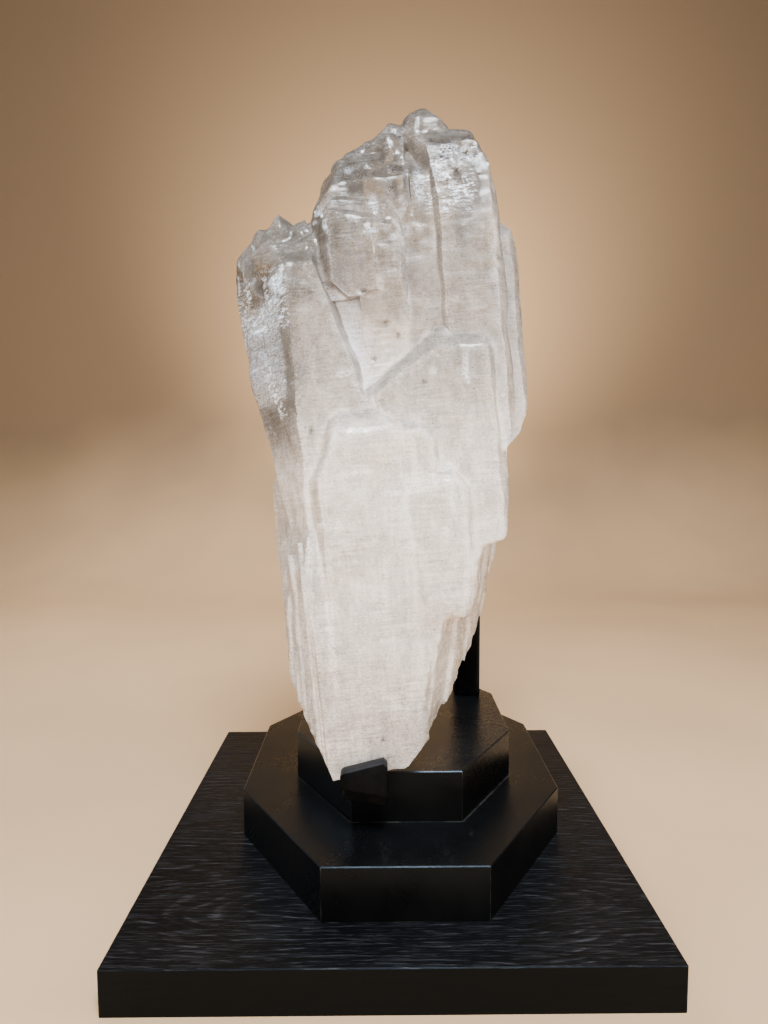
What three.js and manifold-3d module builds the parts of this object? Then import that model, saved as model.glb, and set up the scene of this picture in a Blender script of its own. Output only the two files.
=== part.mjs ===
import * as THREE from 'three';
import { ConvexGeometry } from 'three/addons/geometries/ConvexGeometry.js';
import { mergeVertices } from 'three/addons/utils/BufferGeometryUtils.js';
import Module from 'manifold-3d';

const wasm = await Module();
wasm.setup();

// Millimetres, +Z up, the stand's front along -Y, the origin under the middle of the plinth.

// the three boards of the stand
const PLINTH_SIDE = 600;
const PLINTH_THICK = 51;
const TIER_THICK = 64;
const LOWER_TOP = PLINTH_THICK + TIER_THICK;
const UPPER_TOP = LOWER_TOP + TIER_THICK;
const LOWER = { x: 15, half: 215, front: -231, back: 292, sideFront: -52, sideBack: 170, flat: 94.5, flatBack: 132 };
const UPPER = { x: 20, half: 150, front: -137, back: 204, sideFront: -13, sideBack: 140, flat: 69, flatBack: 108 };
const ARRIS = 1.2;
const TOUCH = 0.3;

// the crystal leans 5 degrees to its left and 4 degrees back, onto the post
const LEAN_LEFT = 5;
const LEAN_BACK = 4;
const BACK_FACE = 118;

// the post behind, and the clip that holds the foot
const POST = { x: 129, y: 148, side: 40, top: 716, corner: 5 };
const CLIP = { left: -60, right: -4, thick: 20 };

// the turn of each of a quartz crystal's six sides, and how far the faces of its point lean up
const FRONT = -90, FRONT_RIGHT = -30, BACK_RIGHT = 30, BACK = 90, BACK_LEFT = 150, FRONT_LEFT = -150;
const RIGHT = 0, LEFT = 180;
const POINT = 38.2;

const rad = THREE.MathUtils.degToRad;
const LEAN = new THREE.Matrix4().makeTranslation(60, -35, 0)
  .multiply(new THREE.Matrix4().makeRotationX(rad(-LEAN_BACK)))
  .multiply(new THREE.Matrix4().makeRotationY(rad(-LEAN_LEFT)));

// a flat face: the turn and the rise of the way it looks, and a point on it
function face(turn, rise, x, y, z) {
  const normal = new THREE.Vector3(
    Math.cos(rad(turn)) * Math.cos(rad(rise)),
    Math.sin(rad(turn)) * Math.cos(rad(rise)),
    Math.sin(rad(rise)));
  return new THREE.Plane().setFromNormalAndCoplanarPoint(normal, new THREE.Vector3(x, y, z));
}
const side = (turn, x, y) => face(turn, 0, x, y, 0);
const top = (z) => face(0, 90, 0, 0, z);
const foot = (z) => face(0, -90, 0, 0, z);

// the solid that a set of flat faces closes in
function facetted(planes) {
  const corners = [];
  const cross = new THREE.Vector3();
  for (let i = 0; i < planes.length; i++) {
    for (let j = i + 1; j < planes.length; j++) {
      for (let k = j + 1; k < planes.length; k++) {
        const [a, b, c] = [planes[i], planes[j], planes[k]];
        const det = a.normal.dot(cross.crossVectors(b.normal, c.normal));
        if (Math.abs(det) < 1e-4) continue;
        const p = new THREE.Vector3()
          .addScaledVector(new THREE.Vector3().crossVectors(b.normal, c.normal), -a.constant)
          .addScaledVector(new THREE.Vector3().crossVectors(c.normal, a.normal), -b.constant)
          .addScaledVector(new THREE.Vector3().crossVectors(a.normal, b.normal), -c.constant)
          .divideScalar(det);
        const outside = planes.some((plane) => plane.distanceToPoint(p) > 1e-4);
        if (!outside && !corners.some((q) => q.distanceTo(p) < 1e-3)) corners.push(p);
      }
    }
  }
  return new ConvexGeometry(corners);
}

function solid(geometry) {
  geometry.deleteAttribute('normal');
  geometry.deleteAttribute('uv');
  const welded = mergeVertices(geometry, 1e-4);
  return new wasm.Manifold(new wasm.Mesh({
    numProp: 3,
    vertProperties: new Float32Array(welded.attributes.position.array),
    triVerts: new Uint32Array(welded.index.array),
  }));
}

function surface(body) {
  const mesh = body.getMesh();
  const geometry = new THREE.BufferGeometry();
  geometry.setAttribute('position', new THREE.BufferAttribute(new Float32Array(mesh.vertProperties), 3));
  geometry.setIndex(new THREE.BufferAttribute(new Uint32Array(mesh.triVerts), 1));
  return geometry;
}

const join = (pieces) => pieces.reduce((a, b) => a.add(b));
const grown = (...planes) => solid(facetted(planes));

// a small six-sided crystal standing at x, y with its shoulder at height z
function sixSided(x, y, wide, deep, low, z, uneven = 4) {
  const turns = [FRONT, FRONT_RIGHT, BACK_RIGHT, BACK, BACK_LEFT, FRONT_LEFT];
  const step = [0, 2.1, -1.2, 0.8, 1.6, -0.6];
  const planes = [foot(low)];
  turns.forEach((turn, i) => {
    const [px, py] = [[x, y - deep], [x + wide, y], [x + wide, y], [x, y + deep], [x - wide, y], [x - wide, y]][i];
    planes.push(side(turn, px, py), face(turn, POINT, px, py, z + step[i] * uneven));
  });
  return grown(...planes);
}

// a rough broken lump, or the hollow left where one came away
function lump(x, y, z, rx, ry, rz, turn = 0) {
  const planes = [];
  const count = 11;
  for (let i = 0; i < count; i++) {
    const up = 1 - (2 * i + 1) / count;
    const around = 137.5 * i + turn;
    const out = 0.86 + 0.14 * Math.sin(2.3 * i + turn);
    const level = Math.sqrt(1 - up * up);
    const normal = new THREE.Vector3(level * Math.cos(rad(around)), level * Math.sin(rad(around)), up);
    planes.push(new THREE.Plane(normal, -out));
  }
  const geometry = facetted(planes);
  geometry.scale(rx, ry, rz);
  geometry.translate(x, y, z);
  return solid(geometry);
}

// a long low ridge or groove between two points, as wide as it is given
function ridge(ax, ay, az, bx, by, bz, wide, high = wide * 0.4) {
  const from = new THREE.Vector3(ax, ay, az);
  const along = new THREE.Vector3(bx, by, bz).sub(from);
  const half = along.length() / 2;
  const rod = new THREE.CylinderGeometry(wide * 0.42, wide * 0.5, 2 * half, 6, 1);
  rod.scale(1, 1, high / wide * 2);
  rod.applyQuaternion(new THREE.Quaternion().setFromUnitVectors(
    new THREE.Vector3(0, 1, 0), along.clone().normalize()));
  rod.translate(...from.addScaledVector(along, 0.5).toArray());
  return solid(rod);
}

// ---- the stand ----

function plinthBoard() {
  const h = PLINTH_SIDE / 2;
  const planes = [top(PLINTH_THICK), foot(0)];
  for (const turn of [0, 90, 180, -90]) {
    const [x, y] = [h * Math.cos(rad(turn)), h * Math.sin(rad(turn))];
    planes.push(side(turn, x, y), face(turn, 45, x, y, PLINTH_THICK - ARRIS));
  }
  for (const [sx, sy] of [[1, 1], [1, -1], [-1, 1], [-1, -1]]) {
    planes.push(side(Math.atan2(sy, sx) * 180 / Math.PI, sx * h, sy * (h - ARRIS)));
  }
  return facetted(planes);
}

// the turn of a corner's cut, from how much it takes off the side and off the end
const cutTurn = (offSide, offEnd) => Math.atan2(offSide, offEnd) * 180 / Math.PI;

function octagonTier(tier, low, high) {
  const front = cutTurn(tier.half - tier.flat, tier.sideFront - tier.front);
  const back = cutTurn(tier.half - tier.flatBack, tier.back - tier.sideBack);
  const [left, right] = [tier.x - tier.half, tier.x + tier.half];
  const sides = [
    [FRONT, tier.x, tier.front], [BACK, tier.x, tier.back], [RIGHT, right, 0], [LEFT, left, 0],
    [-front, right, tier.sideFront], [180 + front, left, tier.sideFront],
    [back, right, tier.sideBack], [180 - back, left, tier.sideBack],
  ];
  const planes = [top(high), foot(low)];
  for (const [turn, x, y] of sides) planes.push(side(turn, x, y), face(turn, 45, x, y, high - ARRIS));
  return facetted(planes);
}

// the square post: its top is cut to the crystal's lean, so that it bears on the back face
function rearPost() {
  const h = POST.side / 2;
  const bearing = new THREE.Plane().setFromNormalAndCoplanarPoint(
    new THREE.Vector3(0, -1, 0), new THREE.Vector3(0, BACK_FACE + TOUCH, 0)).applyMatrix4(LEAN);
  const planes = [top(POST.top), foot(UPPER_TOP + TOUCH), bearing];
  for (const turn of [0, 90, 180, -90]) {
    const [x, y] = [POST.x + h * Math.cos(rad(turn)), POST.y + h * Math.sin(rad(turn))];
    planes.push(side(turn, x, y), face(turn, 45, x, y, POST.top - 3));
  }
  for (const [sx, sy] of [[1, 1], [1, -1], [-1, 1], [-1, -1]]) {
    const turn = Math.atan2(sy, sx) * 180 / Math.PI;
    planes.push(side(turn, POST.x + sx * h, POST.y + sy * (h - POST.corner)));
  }
  return facetted(planes);
}

// where the foot of the crystal ends: its sloping underside and its flat front, in the crystal's own lean
const FOOT_UNDER = [RIGHT, -84.5, -108, -130, 177];
const FOOT_FRONT = -135;

// the toe clip: a lip in front of the foot and a shelf under it, fixed to the front of the upper tier
function toeClip() {
  const under = face(...FOOT_UNDER).applyMatrix4(LEAN).negate();
  under.constant += TOUCH;
  const behind = new THREE.Plane().setFromNormalAndCoplanarPoint(
    new THREE.Vector3(0, 1, 0), new THREE.Vector3(0, FOOT_FRONT - TOUCH, 0)).applyMatrix4(LEAN);
  const inFront = new THREE.Plane(behind.normal.clone().negate(), -behind.constant - CLIP.thick);
  const lip = grown(behind, inFront,
    side(LEFT, CLIP.left, 0), side(RIGHT, CLIP.right, 0),
    face(170, 76, CLIP.left, -178, 195), face(190, -80, CLIP.left, -178, 177),
    face(LEFT, 45, CLIP.left, -178, 192), face(RIGHT, 45, CLIP.right, -178, 202));
  const shelf = grown(under, side(BACK, 0, UPPER.front - TOUCH), side(FRONT, 0, -172),
    side(LEFT, CLIP.left + 1, 0), side(RIGHT, CLIP.right - 1, 0),
    face(190, -80, CLIP.left, -150, 162));
  return surface(lip.add(shelf));
}

// ---- the crystal, drawn standing straight and then leaned ----

// the tall crystal: two raised slabs on its front with a hollow between them
function tallCrystal() {
  const body = grown(
    side(FRONT, 0, -88), side(FRONT_RIGHT, 148, -88), face(RIGHT, -3.6, 159, 0, 868), side(BACK_RIGHT, 159, 24),
    side(BACK, 0, 92), side(BACK_LEFT, -83, 20), side(LEFT, -83, 0), side(FRONT_LEFT, -70, -88),
    foot(380), top(1000),
    face(FRONT, POINT, 0, -88, 916), face(RIGHT, 12, 159, 0, 880), face(LEFT, 22, -83, 0, 882),
    face(LEFT, 44, -51, 0, 952), face(LEFT, 68, -6, 0, 983), face(FRONT_LEFT, 34, -70, -88, 892),
    face(BACK, 40, 0, 92, 905), face(BACK_LEFT, 40, -84, 20, 880), face(BACK_RIGHT, 30, 159, 24, 900));
  const rightSlab = grown(
    side(FRONT, 0, -97), side(FRONT_RIGHT, 146, -97), side(RIGHT, 159, 0), side(FRONT_LEFT, 79, -97),
    side(BACK, 0, 0), foot(560), top(986), face(RIGHT, -24, 159, 0, 610),
    face(FRONT, 12, 0, -97, 903), face(FRONT, 44, 0, -86, 955), face(RIGHT, 15, 157, -60, 892),
    face(FRONT_RIGHT, 26, 146, -97, 925));
  const leftSlab = grown(
    side(FRONT, 0, -103), side(FRONT_LEFT, -63, -103), side(LEFT, -81, 0), side(RIGHT, 3, 0), side(BACK, 0, 0),
    top(900), face(-80, POINT, -58, -103, 874), face(RIGHT, -86, -30, -103, 767), face(LEFT, -44, -65, -103, 789),
    face(FRONT_LEFT, 30, -60, -103, 874), face(-60, 0, -6, -103, 0));
  const middleSlab = grown(
    side(-94, -12, -101), side(-40, 29, -99), side(RIGHT, 33, 0), side(LEFT, -30, 0), side(BACK, 0, 0),
    foot(690), top(900), face(-80, POINT, -12, -101, 862), face(-20, 30, 30, -101, 838),
    face(FRONT, -12, 0, -101, 775));
  const upperStep = grown(
    side(FRONT, 0, -95), side(FRONT_LEFT, -66, -95), side(LEFT, -82, 0), side(RIGHT, 30, 0), side(BACK, 0, 0),
    foot(800), top(920), face(-82, POINT, -58, -95, 893), face(-20, 30, 30, -95, 858),
    face(LEFT, 22, -83, 0, 868), face(FRONT_LEFT, 34, -66, -95, 878));
  return [body, rightSlab, leftSlab, middleSlab, upperStep];
}

// the crest of the tall crystal: a blunt peak, and a rough rim stepping down to the left
function crest() {
  const peak = grown(side(FRONT, 0, -60), side(FRONT_RIGHT, 98, -60), side(RIGHT, 114, 0), side(BACK, 0, 30),
    side(LEFT, 48, 0), side(FRONT_LEFT, 60, -60), foot(940), top(1037),
    face(FRONT, 46, 0, -60, 1004), face(LEFT, 50, 48, 0, 1012), face(LEFT, 72, 66, 0, 1032),
    face(RIGHT, 40, 113, 0, 1000), face(RIGHT, 62, 99, 0, 1026), face(FRONT_RIGHT, 42, 98, -60, 1000),
    face(BACK, 48, 0, 30, 1006), face(BACK_LEFT, 40, 56, 20, 1004));
  const shoulder = grown(side(FRONT, 0, -70), side(FRONT_RIGHT, 130, -70), side(RIGHT, 142, 0), side(BACK, 0, 6),
    side(LEFT, 96, 0), foot(900), top(992), face(FRONT, 50, 0, -70, 974), face(RIGHT, 38, 141, 0, 984),
    face(BACK, 40, 0, 6, 970));
  return [peak, shoulder,
    sixSided(70, 34, 36, 34, 900, 978, 2), sixSided(8, 44, 36, 32, 880, 944, 2), sixSided(116, 30, 26, 34, 880, 952, 2),
    lump(38, -26, 990, 20, 26, 22, 10), lump(22, -30, 980, 18, 24, 20, 75), lump(2, -30, 976, 22, 22, 18, 130),
    lump(-18, -28, 968, 20, 24, 18, 200), lump(-36, -26, 950, 18, 26, 20, 260), lump(-52, -26, 934, 17, 24, 20, 320),
    lump(-64, -20, 912, 15, 26, 22, 20), lump(-71, -22, 890, 13, 22, 20, 90),
    lump(30, -56, 954, 20, 16, 34, 20), lump(-14, -58, 924, 30, 16, 26, 80), lump(147, -44, 926, 11, 22, 36, 10),
    lump(-44, -62, 900, 24, 16, 22, 120), lump(62, -50, 984, 16, 16, 34, 200)];
}

// the crystal on the left, with a rough broken head
function leftCrystal() {
  const body = grown(
    side(FRONT, 0, -108), side(-141, -119, -108), face(165, -7.5, -197, -10, 790), face(168, -13, -185, -10, 700),
    side(BACK_LEFT, -197, 6), side(BACK, 0, 70), face(-20, 14.5, -82, -108, 811), foot(440), top(880),
    face(FRONT, 47, 0, -108, 815), face(LEFT, 21, -195, 0, 822), face(-141, 40, -150, -80, 838),
    face(BACK, 40, 0, 70, 800));
  return [body,
    lump(-129, -42, 866, 22, 26, 29, 40), lump(-101, -44, 862, 14, 22, 28, 130), lump(-84, -40, 862, 15, 24, 25, 220),
    lump(-150, -36, 856, 20, 26, 28, 310), lump(-172, -20, 836, 20, 30, 32, 80), lump(-182, -6, 800, 16, 30, 44, 10),
    lump(-142, -70, 830, 26, 18, 26, 60), lump(-112, -76, 826, 22, 16, 24, 160), lump(-90, -72, 836, 16, 16, 26, 250),
    lump(-166, -50, 806, 20, 20, 36, 340), lump(-168, 22, 816, 24, 26, 34, 100), lump(-112, 14, 852, 32, 30, 26, 200),
    lump(-66, -58, 846, 14, 20, 30, 30)];
}

// the crystal in front on the right, its point sloping away to the left
function rightCrystal() {
  return [
    grown(side(FRONT, 0, -112), side(FRONT_RIGHT, 124, -112), face(RIGHT, -4.5, 147, 0, 654), side(BACK, 0, 0),
      side(FRONT_LEFT, -20, -112), foot(400), face(RIGHT, -20, 129, 0, 430), face(FRONT, POINT, 0, -112, 692), face(-125, POINT, 59, -112, 696),
      face(FRONT_RIGHT, 30, 124, -112, 690)),
    grown(side(FRONT, 0, -108), side(FRONT_RIGHT, 20, -108), side(FRONT_LEFT, -34, -108), side(BACK, 0, 0), foot(560),
      face(FRONT, POINT, 0, -108, 640), face(-125, POINT, -6, -108, 655))];
}

// the narrow crystal behind on the right, that the post bears on
function backRightCrystal() {
  return [
    grown(side(FRONT, 0, 0), side(FRONT_RIGHT, 186, 0), side(RIGHT, 198, 0), side(BACK_RIGHT, 198, 46),
      side(BACK, 0, BACK_FACE), side(LEFT, 20, 0), foot(440),
      face(FRONT, POINT, 0, 0, 862), face(RIGHT, 27, 198, 0, 862), face(BACK, POINT, 0, BACK_FACE, 800),
      face(RIGHT, -21, 198, 0, 640), face(RIGHT, -42, 184, 0, 596))];
}

// the low crystals across the front
function frontCrystals() {
  return [
    grown(side(FRONT, 0, -132), side(FRONT_LEFT, -99, -132), face(RIGHT, 0, 6, 0, 0),
      side(BACK, 0, 0), foot(150), face(FRONT, POINT, 0, -132, 597), face(-150, 20, -98, -132, 545),
      face(-125, 36, -78, -132, 592), face(-40, 44, 0, -132, 594)),
    grown(side(FRONT, 0, -124), side(FRONT_RIGHT, 44, -124), side(BACK, 0, 0), side(LEFT, -30, 0), foot(200),
      face(FRONT, POINT, 0, -124, 590), face(-40, 30, 36, -124, 590)),
    grown(side(FRONT, 0, -129.5), side(FRONT_RIGHT, 76, -129.5), side(BACK, 0, 0), side(LEFT, -30, 0), foot(150),
      face(FRONT, POINT, 0, -129.5, 526), face(-30, 36, 74, -129.5, 522)),
    grown(side(FRONT, 0, -122), side(FRONT_RIGHT, 86, -122), side(BACK, 0, 0), side(LEFT, -30, 0), foot(150),
      face(FRONT, POINT, 0, -122, 440), face(-30, 40, 84, -122, 436)),
  ];
}

// the left flank: a shoulder, and a pointed edge low on the front
function leftFlank() {
  const body = grown(
    side(FRONT, 0, -129), side(FRONT_LEFT, -124, -129), side(LEFT, -167, 0), side(BACK_LEFT, -167, -20),
    side(BACK, 0, 40), side(RIGHT, 0, 0), foot(150), face(-96, 12, -98, -129, 415),
    face(FRONT_LEFT, 14, -140, -100, 430), face(LEFT, 40, -166, 0, 460), top(484));
  const edge = grown(side(FRONT, 0, FOOT_FRONT), side(FRONT_LEFT, -119, FOOT_FRONT), side(LEFT, -160, 0),
    side(-86, -92, FOOT_FRONT), side(RIGHT, -30, 0), side(BACK, 0, 0), foot(150), face(-140, 34, -119, FOOT_FRONT, 388),
    face(-84, 8, -110, FOOT_FRONT, 340));
  const ribs = [[-128, 470], [-136, 405], [-144, 452], [-152, 330], [-158, 400]].map(([x, high], i) =>
    ridge(x, -129 + (-124 - x) * 1.732, 200 + i * 16, x, -129 + (-124 - x) * 1.732, high, 9, 5));
  return [body, edge, ...ribs];
}

// the crystals on the back
function backCrystals() {
  return [
    grown(side(BACK, 0, 112), side(BACK_LEFT, -48, 112), side(LEFT, -84, 0), side(FRONT, 0, 0), side(BACK_RIGHT, 44, 112),
      side(RIGHT, 70, 0), foot(400), face(BACK, POINT, 0, 112, 842), face(BACK_LEFT, POINT, -48, 112, 826),
      face(BACK_RIGHT, POINT, 44, 112, 850)),
    grown(side(BACK, 0, 96), side(BACK_LEFT, -132, 96), side(LEFT, -176, 0), side(FRONT, 0, 0), side(RIGHT, -20, 0),
      foot(400), face(BACK, POINT, 0, 96, 690), face(BACK_LEFT, POINT, -132, 96, 672), face(LEFT, -9, -176, 0, 640)),
    grown(side(BACK, 0, 126), side(BACK_LEFT, -20, 126), side(FRONT, 0, 0), side(BACK_RIGHT, 36, 126),
      side(LEFT, -60, 0), side(RIGHT, 70, 0), foot(400), face(BACK, POINT, 0, 126, 610), face(BACK_LEFT, POINT, -20, 126, 600),
      face(BACK_RIGHT, POINT, 36, 126, 604)),
  ];
}

// everything that broke away below: the root tapers down to the foot
function brokenRoot() {
  return grown(
    side(FRONT, 0, -400), side(BACK, 0, 400), side(LEFT, -400, 0), side(RIGHT, 400, 0), top(1200),
    face(...FOOT_UNDER),
    face(15, -22, 118, 20, 392), face(-4, -42, 16, -90, 224), face(-165, -17, -148, -120, 270),
    face(BACK, -37, -50, -112, 186), face(60, -28, 60, 96, 470), face(120, -30, -90, 60, 420));
}

// the right side of the root broke off in upright slivers, each a little deeper than the next
function missingSlivers(x, y, z, turn, rise, count, ...ceiling) {
  const step = new THREE.Vector2(15, 0).rotateAround(new THREE.Vector2(), rad(turn + 90));
  const pieces = [];
  for (let i = 0; i < count; i++) {
    const out = 2.6 * Math.sin(2.1 * i + x) + 1.4 * Math.sin(5.3 * i);
    const [cx, cy] = [x + step.x * i + out, y + step.y * i - out * 0.4];
    pieces.push(grown(
      face(turn + 180, -rise + 0.8 * Math.sin(4.1 * i), cx, cy, z), side(turn, 300, -150), foot(100),
      side(turn + 90, cx + step.x * 0.52, cy + step.y * 0.52),
      side(turn - 90, cx - step.x * 0.52, cy - step.y * 0.52),
      face(ceiling[0], ceiling[1], ceiling[2], ceiling[3], ceiling[4] + 4 * Math.sin(1.9 * i))));
  }
  return pieces;
}

// lumps that stand out of the broken back, and hollows sunk in it
function rootLumps() {
  return [
    lump(30, 36, 384, 44, 24, 46, 20), lump(-60, 2, 340, 38, 24, 42, 80), lump(-104, -46, 290, 28, 22, 38, 140),
    lump(74, 66, 452, 34, 20, 34, 210), lump(-10, -58, 266, 34, 18, 32, 260), lump(-70, 74, 470, 40, 22, 40, 300)];
}

function rootHollows() {
  return [
    lump(-24, 44, 326, 44, 24, 38, 20), lump(84, 34, 372, 34, 24, 40, 110), lump(-96, 52, 430, 38, 22, 44, 70),
    lump(24, -14, 262, 30, 18, 28, 170), lump(-124, 14, 350, 26, 26, 44, 240), lump(10, 96, 480, 34, 18, 34, 330)];
}

function quartzCrystal() {
  let body = join([...tallCrystal(), ...crest(), ...leftCrystal(), ...rightCrystal(), ...backRightCrystal(),
    ...frontCrystals(), ...leftFlank(), ...backCrystals()]);
  const hollow = grown(side(81.5, 20, -88), side(FRONT, 0, -140), side(LEFT, -90, 0), side(RIGHT, 20, 0),
    foot(600), face(RIGHT, 86, -30, -103, 767));
  const middleSlab = tallCrystal()[3];
  body = body.subtract(hollow.subtract(
    join([middleSlab, leftCrystal()[0], ...rightCrystal(), ...frontCrystals()])));
  const groove = grown(side(LEFT, 39, 0), side(RIGHT, 47, 0), side(FRONT, 0, -120), side(BACK, 0, -77),
    foot(884), top(1010));
  body = body.subtract(groove);
  const slivers = [
    ...missingSlivers(80, -128, 400, -17, -12.5, 11, -141, 72, 120, -60, 458),
    ...missingSlivers(30, -136, 350, -31, -15.4, 11, -141, 80, 60, -100, 362)];
  body = body.subtract(join(slivers)).intersect(brokenRoot());
  const bounds = grown(face(...FOOT_UNDER), side(FRONT, 0, FOOT_FRONT), side(BACK, 0, BACK_FACE), side(LEFT, -220, 0),
    side(RIGHT, 220, 0), top(1200), face(BACK, -33, -50, -112, 182));
  body = body.subtract(join(rootHollows())).add(join(rootLumps())).intersect(bounds);
  const outerSkin = body.decompose().sort((a, b) => b.volume() - a.volume())[0];
  const geometry = surface(outerSkin);
  geometry.applyMatrix4(LEAN);
  return geometry;
}

// ---- the part ----

const LACQUER = new THREE.MeshStandardMaterial({ name: 'black_lacquer', color: 0x111112, roughness: 0.35 });
const VENEER = new THREE.MeshStandardMaterial({ name: 'black_stained_oak', color: 0x17171c, roughness: 0.5 });
const STEEL = new THREE.MeshStandardMaterial({ name: 'black_steel', color: 0x15161a, roughness: 0.4, metalness: 0.3 });
const QUARTZ = new THREE.MeshStandardMaterial({ name: 'milky_quartz', color: 0xdedad4, roughness: 0.25 });

function piece(name, geometry, material) {
  geometry.deleteAttribute('normal');
  geometry.deleteAttribute('uv');
  const mesh = new THREE.Mesh(mergeVertices(geometry, 1e-4), material);
  mesh.geometry.computeVertexNormals();
  mesh.name = name;
  return mesh;
}

const part = new THREE.Group();
part.name = 'quartz_crystal_on_stand';
part.add(
  piece('plinth_board', plinthBoard(), VENEER),
  piece('lower_tier', octagonTier(LOWER, PLINTH_THICK + TOUCH, LOWER_TOP), LACQUER),
  piece('upper_tier', octagonTier(UPPER, LOWER_TOP + TOUCH, UPPER_TOP), LACQUER),
  piece('rear_post', rearPost(), STEEL),
  piece('toe_clip', toeClip(), STEEL),
  piece('quartz_crystal', quartzCrystal(), QUARTZ),
);

export default part;
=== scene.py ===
# %% [markdown]
# # A tall quartz crystal on a stepped black stand
# The stone is a cluster of milky quartz crystals that grew side by side. It stands on its broken tip
# on a plinth of three black boards, held at the toe by a steel clip and behind by a steel post.
# The solids of the frame give every main shape and every size, in metres. This lesson gives the
# stone its natural surface and gives each part of the stand its finish.

# %% Load the frame
import math

import bpy
import numpy as np
from mathutils import Matrix, Vector, noise


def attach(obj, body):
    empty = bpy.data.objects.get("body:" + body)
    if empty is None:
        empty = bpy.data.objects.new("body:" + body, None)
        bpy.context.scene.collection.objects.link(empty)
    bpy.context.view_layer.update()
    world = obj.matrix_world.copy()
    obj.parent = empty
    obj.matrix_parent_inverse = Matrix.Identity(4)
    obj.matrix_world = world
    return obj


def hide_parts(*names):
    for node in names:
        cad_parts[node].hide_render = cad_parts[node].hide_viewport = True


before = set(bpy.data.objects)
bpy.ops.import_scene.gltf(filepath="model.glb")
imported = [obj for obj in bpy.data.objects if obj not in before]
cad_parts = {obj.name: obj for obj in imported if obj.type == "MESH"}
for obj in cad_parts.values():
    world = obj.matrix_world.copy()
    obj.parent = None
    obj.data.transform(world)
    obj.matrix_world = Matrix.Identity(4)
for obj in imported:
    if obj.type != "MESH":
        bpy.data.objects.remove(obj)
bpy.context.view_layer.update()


# %% [markdown]
# ## Small helpers
# An operator acts on whatever is selected, and loading the frame leaves its nodes selected. So
# each step first picks the one piece that it works on.

# %% Picking a piece
def pick(piece):
    """Selects one piece and nothing else."""
    bpy.ops.object.select_all(action="DESELECT")
    piece.select_set(True)
    bpy.context.view_layer.objects.active = piece
    return piece


def settle(piece):
    """Writes a piece's place, turn and scale into its mesh."""
    pick(piece)
    bpy.ops.object.transform_apply(location=True, rotation=True, scale=True)
    return piece


def welded_copy(node, name):
    """A copy of a solid of the frame under a new name, its loose triangles merged."""
    piece = bpy.data.objects.new(name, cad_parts[node].data.copy())
    bpy.context.scene.collection.objects.link(piece)
    pick(piece)
    bpy.ops.object.mode_set(mode="EDIT")
    bpy.ops.mesh.select_all(action="SELECT")
    bpy.ops.mesh.remove_doubles(threshold=1e-5)
    bpy.ops.mesh.select_all(action="DESELECT")
    bpy.ops.object.mode_set(mode="OBJECT")
    return piece


def finish_modifiers(piece):
    """Applies every modifier of a piece in order."""
    pick(piece)
    for modifier in list(piece.modifiers):
        bpy.ops.object.modifier_apply(modifier=modifier.name)
    return piece


# %% [markdown]
# ## The camera
# The camera stands just under a metre in front of the stone, at about the height of its middle, and
# looks down a little. The lens is wide, so the boards spread towards the viewer.

# %% Camera
CAMERA_AT = (-0.0108, -0.9497, 0.5663)
LENS = 23.95
TURN, TILT, ROLL = -0.29, 85.39, -0.25

bpy.ops.object.select_all(action="DESELECT")
bpy.ops.object.camera_add(location=CAMERA_AT)
camera = bpy.context.object
aim = (Matrix.Rotation(math.radians(TURN), 4, "Z") @ Matrix.Rotation(math.radians(TILT), 4, "X")
       @ Matrix.Rotation(math.radians(ROLL), 4, "Z"))
camera.rotation_euler = aim.to_euler()
camera.data.lens = LENS
bpy.context.scene.camera = camera
print("camera", CAMERA_AT, "lens", LENS)

# %% [markdown]
# ## Floor and backdrop
# A studio sweep is one sheet: a floor that curves up into a wall, so no line shows behind the
# stone. It could be two planes, but their corner would show. One edge of a plane is extruded up, and
# the corner is then bevelled round. The wall stands well back, so that the object can be looked at
# from behind too.

# %% The sweep
FLOOR_HALF = 6.0
WALL_AT = 2.6
WALL_HIGH = 4.5
BEND = 0.9
BEND_STEPS = 24
FLOOR_UNDER = -0.0003
NEAR = 0.01

bpy.ops.object.select_all(action="DESELECT")
bpy.ops.mesh.primitive_plane_add(size=2, location=(0, 0, 0))
sweep = bpy.context.object
sweep.name = "sweep"
sweep.scale = (FLOOR_HALF, FLOOR_HALF, 1)
sweep.location = (0, WALL_AT - FLOOR_HALF, FLOOR_UNDER)
settle(sweep)
bpy.ops.object.mode_set(mode="EDIT")
bpy.ops.mesh.select_all(action="DESELECT")
bpy.ops.object.mode_set(mode="OBJECT")
for edge in sweep.data.edges:
    edge.select = all(sweep.data.vertices[i].co.y > WALL_AT - NEAR for i in edge.vertices)
bpy.ops.object.mode_set(mode="EDIT")
bpy.ops.mesh.select_mode(type="EDGE")
bpy.ops.mesh.extrude_region_move(TRANSFORM_OT_translate={"value": (0, 0, WALL_HIGH)})
bpy.ops.mesh.select_all(action="DESELECT")
bpy.ops.object.mode_set(mode="OBJECT")
for edge in sweep.data.edges:
    ends = [sweep.data.vertices[i].co for i in edge.vertices]
    edge.select = all(co.y > WALL_AT - NEAR and co.z < NEAR for co in ends)
bpy.ops.object.mode_set(mode="EDIT")
bpy.ops.mesh.bevel(offset=BEND, segments=BEND_STEPS, affect="EDGES")
bpy.ops.object.mode_set(mode="OBJECT")
bpy.ops.object.shade_smooth()
print("sweep", len(sweep.data.polygons), "faces")

# %% [markdown]
# ## Lamps
# Large square lamps give soft light, as cloth-covered boxes do in a studio. A cool window high in
# front lights the stone from its crest down, and a weak bluer one behind on the left rims the left
# crystal. Three warm fills lift the shadows. They are left out of reflections, so the lacquer stays
# black. The sparkle lamp is the other way round: only reflections show it, as glints on the stone.
# The last lamp throws the warm glow on the wall behind the stone.

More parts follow.
